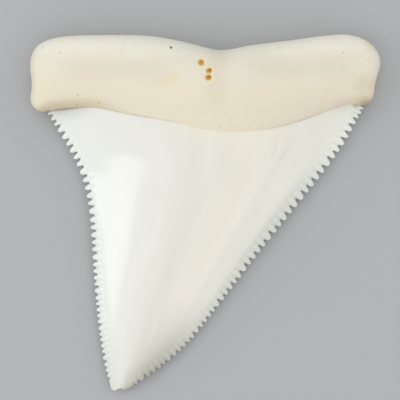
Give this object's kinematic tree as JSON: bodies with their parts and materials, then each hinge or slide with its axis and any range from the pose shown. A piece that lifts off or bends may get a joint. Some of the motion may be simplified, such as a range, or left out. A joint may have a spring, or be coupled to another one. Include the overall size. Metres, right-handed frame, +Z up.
{
  "type": "shark tooth",
  "caption": "Broad triangular great white shark tooth with a thick two-lobed root, a slanting flat crown and finely serrated cutting edges, lying on its flat outer face.",
  "frame": {"origin": "centre of the bounding box on the resting plane, under the flat outer face", "axes": "+X to the right with the inner face up, +Y from the crown's tip towards the root, +Z up from the resting face through the tooth's thickness"},
  "size_m": [0.0492, 0.0502, 0.0091],
  "materials": {
    "tooth": "satin"
  },
  "bodies": {
    "root": {"tooth": "tooth"}
  },
  "joints": []
}
